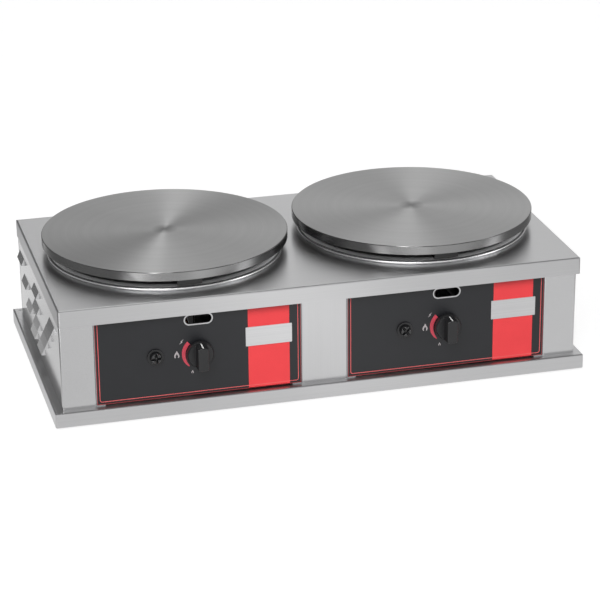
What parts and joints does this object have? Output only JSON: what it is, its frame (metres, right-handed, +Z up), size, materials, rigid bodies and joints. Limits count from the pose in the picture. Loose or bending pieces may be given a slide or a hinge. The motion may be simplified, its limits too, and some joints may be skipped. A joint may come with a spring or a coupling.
{
  "type": "double gas crepe maker",
  "caption": "Countertop gas crepe maker: round cast-iron griddles on polished collars over star burners, louvred stainless case, turn-and-push knobs, piezo igniter buttons.",
  "frame": {"origin": "on the bench under the middle of the overall box", "axes": "+X along the length to the right of a person at the front, +Y to the back, +Z up"},
  "size_m": [0.872, 0.496, 0.232],
  "materials": {
    "stainless": "satin brushed",
    "polished_steel": "polished",
    "turned_iron": "machine turned",
    "printed_film": "satin printed film",
    "badge_metal": "satin",
    "knob_plastic": "satin moulded",
    "gloss_black": "gloss",
    "brass": "machined",
    "copper": "drawn copper",
    "burner_steel": "heat tinted",
    "cast_iron": "as cast",
    "zinc_steel": "zinc plated",
    "rubber": "matt",
    "white_ceramic": "unglazed",
    "silicone": "matt silicone"
  },
  "bodies": {
    "casing": {"base_plinth": "stainless", "foot_front_left": "rubber", "foot_front_right": "rubber", "foot_rear_left": "rubber", "foot_rear_right": "rubber", "foot_screws": "zinc_steel", "side_panel_left": "stainless", "side_panel_right": "stainless", "back_panel": "stainless", "back_panel_screws": "zinc_steel", "centre_pillar": "stainless", "deck_cover": "stainless", "control_panel_left": "stainless", "control_panel_right": "stainless", "panel_film_left": "printed_film", "panel_film_right": "printed_film", "badge_plate_left": "badge_metal", "badge_plate_right": "badge_metal", "plate_collar_left": "polished_steel", "plate_collar_right": "polished_steel", "burner_left": "burner_steel", "burner_right": "burner_steel", "mixer_tube_left": "cast_iron", "mixer_tube_right": "cast_iron", "injector_left": "brass", "injector_right": "brass", "burner_stand_left": "zinc_steel", "burner_stand_right": "zinc_steel", "gas_tap_left": "brass", "gas_tap_right": "brass", "tap_bonnet_left": "brass", "tap_bonnet_right": "brass", "tap_pipe_left": "copper", "tap_pipe_right": "copper", "igniter_body_left": "gloss_black", "igniter_body_right": "gloss_black", "igniter_nut_left": "knob_plastic", "igniter_nut_right": "knob_plastic", "spark_electrode_left": "white_ceramic", "spark_electrode_right": "white_ceramic", "ignition_lead_left": "silicone", "ignition_lead_right": "silicone", "thermocouple_left": "copper", "thermocouple_right": "copper", "gas_rail": "zinc_steel", "inlet_pipe": "zinc_steel", "gas_inlet": "brass", "inlet_nut": "brass"},
    "tap_plug_left": {"tap_plug_left": "brass"},
    "knob_left": {"tap_spindle_left": "zinc_steel", "knob_left": "knob_plastic"},
    "igniter_button_left": {"igniter_button_left": "gloss_black"},
    "griddle_plate_left": {"griddle_plate_left": "turned_iron"},
    "tap_plug_right": {"tap_plug_right": "brass"},
    "knob_right": {"tap_spindle_right": "zinc_steel", "knob_right": "knob_plastic"},
    "igniter_button_right": {"igniter_button_right": "gloss_black"},
    "griddle_plate_right": {"griddle_plate_right": "turned_iron"}
  },
  "joints": [
    {"name": "tap_turn_left", "type": "hinge", "parent": "casing", "child": "tap_plug_left", "pos_m": [-0.20325, -0.214, 0.101], "axis": [0, -1, 0], "range_deg": [0, 170]},
    {"name": "knob_push_left", "type": "slide", "parent": "tap_plug_left", "child": "knob_left", "axis": [0, 1, 0], "range_m": [0, 0.004], "stiffness_N_per_m": 1500, "springref_m": -0.002},
    {"name": "igniter_press_left", "type": "slide", "parent": "casing", "child": "igniter_button_left", "axis": [0, 1, 0], "range_m": [0, 0.005], "stiffness_N_per_m": 1500, "springref_m": -0.002},
    {"name": "griddle_lift_left", "type": "slide", "parent": "casing", "child": "griddle_plate_left", "axis": [0, 0, 1], "range_m": [0, 0.12]},
    {"name": "tap_turn_right", "type": "hinge", "parent": "casing", "child": "tap_plug_right", "pos_m": [0.20325, -0.214, 0.101], "axis": [0, -1, 0], "range_deg": [0, 170]},
    {"name": "knob_push_right", "type": "slide", "parent": "tap_plug_right", "child": "knob_right", "axis": [0, 1, 0], "range_m": [0, 0.004], "stiffness_N_per_m": 1500, "springref_m": -0.002},
    {"name": "igniter_press_right", "type": "slide", "parent": "casing", "child": "igniter_button_right", "axis": [0, 1, 0], "range_m": [0, 0.005], "stiffness_N_per_m": 1500, "springref_m": -0.002},
    {"name": "griddle_lift_right", "type": "slide", "parent": "casing", "child": "griddle_plate_right", "axis": [0, 0, 1], "range_m": [0, 0.12]}
  ]
}
